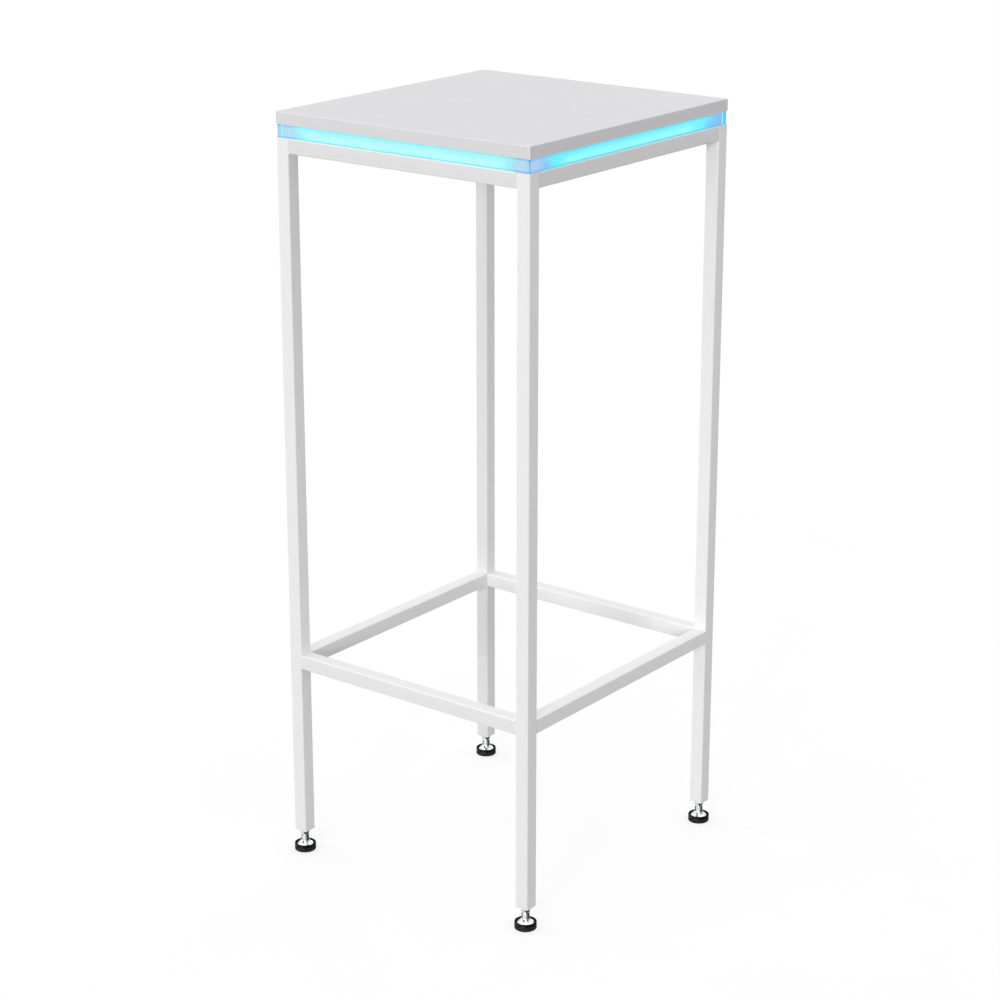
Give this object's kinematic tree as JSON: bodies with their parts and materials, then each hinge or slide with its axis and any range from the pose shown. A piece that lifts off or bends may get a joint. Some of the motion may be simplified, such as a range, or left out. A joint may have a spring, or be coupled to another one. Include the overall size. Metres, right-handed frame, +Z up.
{
  "type": "standing table",
  "caption": "Tall square-topped standing table on a white tube frame with a footrest ring, screw-adjusted feet and a lit cyan acrylic band under its pale top.",
  "frame": {"origin": "on the floor under the middle of the table, with the feet at their rest height", "axes": "+Z up, +X to the right and -Y towards the front, the side that the picture shows on the left"},
  "size_m": [0.4608, 0.4904, 1.15],
  "materials": {
    "powder_coat": "satin white powder coat",
    "board": "satin pale grey-white laminate on board",
    "acrylic": "clear acrylic, polished edges, lit cyan from behind",
    "opal": "thin opal sheet, lit cyan from behind",
    "carrier": "white painted batten",
    "strip": "white light strip with chips",
    "panel": "matt white sheet",
    "zinc": "zinc-plated screw",
    "chrome": "bright chrome plate",
    "rubber": "matt black rubber",
    "black_plastic": "black moulded plastic",
    "blue_wrap": "blue shrink wrap"
  },
  "bodies": {
    "frame": {"leg_front_left": "powder_coat", "corner_tab_front_left": "powder_coat", "leg_insert_front_left": "powder_coat", "top_screw_front_left": "zinc", "leg_front_right": "powder_coat", "corner_tab_front_right": "powder_coat", "leg_insert_front_right": "powder_coat", "top_screw_front_right": "zinc", "leg_rear_right": "powder_coat", "corner_tab_rear_right": "powder_coat", "leg_insert_rear_right": "powder_coat", "top_screw_rear_right": "zinc", "leg_rear_left": "powder_coat", "corner_tab_rear_left": "powder_coat", "leg_insert_rear_left": "powder_coat", "top_screw_rear_left": "zinc", "top_rail_front": "powder_coat", "foot_rail_front": "powder_coat", "light_band_front": "acrylic", "diffuser_front": "opal", "led_carrier_front": "carrier", "led_strip_front": "strip", "top_rail_right": "powder_coat", "foot_rail_right": "powder_coat", "light_band_right": "acrylic", "diffuser_right": "opal", "led_carrier_right": "carrier", "led_strip_right": "strip", "top_rail_rear": "powder_coat", "foot_rail_rear": "powder_coat", "light_band_rear": "acrylic", "diffuser_rear": "opal", "led_carrier_rear": "carrier", "led_strip_rear": "strip", "top_rail_left": "powder_coat", "foot_rail_left": "powder_coat", "light_band_left": "acrylic", "diffuser_left": "opal", "led_carrier_left": "carrier", "led_strip_left": "strip", "tabletop": "board", "base_panel": "panel", "led_controller": "black_plastic", "power_switch": "black_plastic", "charge_socket": "black_plastic", "battery_pack": "blue_wrap"},
    "front_left_pad": {"foot_pad_front_left": "rubber"},
    "front_left_stem": {"foot_stem_front_left": "chrome"},
    "front_left_nut": {"lock_nut_front_left": "chrome"},
    "front_right_pad": {"foot_pad_front_right": "rubber"},
    "front_right_stem": {"foot_stem_front_right": "chrome"},
    "front_right_nut": {"lock_nut_front_right": "chrome"},
    "rear_right_pad": {"foot_pad_rear_right": "rubber"},
    "rear_right_stem": {"foot_stem_rear_right": "chrome"},
    "rear_right_nut": {"lock_nut_rear_right": "chrome"},
    "rear_left_pad": {"foot_pad_rear_left": "rubber"},
    "rear_left_stem": {"foot_stem_rear_left": "chrome"},
    "rear_left_nut": {"lock_nut_rear_left": "chrome"},
    "rocker": {"switch_rocker": "black_plastic"}
  },
  "joints": [
    {"name": "front_left_foot_height", "type": "slide", "parent": "frame", "child": "front_left_pad", "axis": [0, 0, 1], "range_m": [-0.02, 0.0022]},
    {"name": "front_left_foot_screw", "type": "hinge", "parent": "front_left_pad", "child": "front_left_stem", "pos_m": [-0.214, -0.229, 0], "axis": [0, 0, 1], "range_deg": [-5761, 634]},
    {"name": "front_left_lock_nut", "type": "hinge", "parent": "frame", "child": "front_left_nut", "pos_m": [-0.214, -0.229, 0.03075], "axis": [0, 0, 1], "range_deg": [-90, 0]},
    {"name": "front_right_foot_height", "type": "slide", "parent": "frame", "child": "front_right_pad", "axis": [0, 0, 1], "range_m": [-0.02, 0.0022]},
    {"name": "front_right_foot_screw", "type": "hinge", "parent": "front_right_pad", "child": "front_right_stem", "pos_m": [0.214, -0.229, 0], "axis": [0, 0, 1], "range_deg": [-5761, 634]},
    {"name": "front_right_lock_nut", "type": "hinge", "parent": "frame", "child": "front_right_nut", "pos_m": [0.214, -0.229, 0.03075], "axis": [0, 0, 1], "range_deg": [-90, 0]},
    {"name": "rear_right_foot_height", "type": "slide", "parent": "frame", "child": "rear_right_pad", "axis": [0, 0, 1], "range_m": [-0.02, 0.0022]},
    {"name": "rear_right_foot_screw", "type": "hinge", "parent": "rear_right_pad", "child": "rear_right_stem", "pos_m": [0.214, 0.229, 0], "axis": [0, 0, 1], "range_deg": [-5761, 634]},
    {"name": "rear_right_lock_nut", "type": "hinge", "parent": "frame", "child": "rear_right_nut", "pos_m": [0.214, 0.229, 0.03075], "axis": [0, 0, 1], "range_deg": [-90, 0]},
    {"name": "rear_left_foot_height", "type": "slide", "parent": "frame", "child": "rear_left_pad", "axis": [0, 0, 1], "range_m": [-0.02, 0.0022]},
    {"name": "rear_left_foot_screw", "type": "hinge", "parent": "rear_left_pad", "child": "rear_left_stem", "pos_m": [-0.214, 0.229, 0], "axis": [0, 0, 1], "range_deg": [-5761, 634]},
    {"name": "rear_left_lock_nut", "type": "hinge", "parent": "frame", "child": "rear_left_nut", "pos_m": [-0.214, 0.229, 0.03075], "axis": [0, 0, 1], "range_deg": [-90, 0]},
    {"name": "rocker_tilt", "type": "hinge", "parent": "frame", "child": "rocker", "pos_m": [0.0186, 0.0566, 1.1133], "axis": [0, -1, 0], "range_deg": [0, 22]}
  ],
  "couplings": [
    {"joint": "front_left_foot_screw", "follows": "front_left_foot_height", "rad_per_m": 5026.5},
    {"joint": "front_right_foot_screw", "follows": "front_right_foot_height", "rad_per_m": 5026.5},
    {"joint": "rear_right_foot_screw", "follows": "rear_right_foot_height", "rad_per_m": 5026.5},
    {"joint": "rear_left_foot_screw", "follows": "rear_left_foot_height", "rad_per_m": 5026.5}
  ]
}
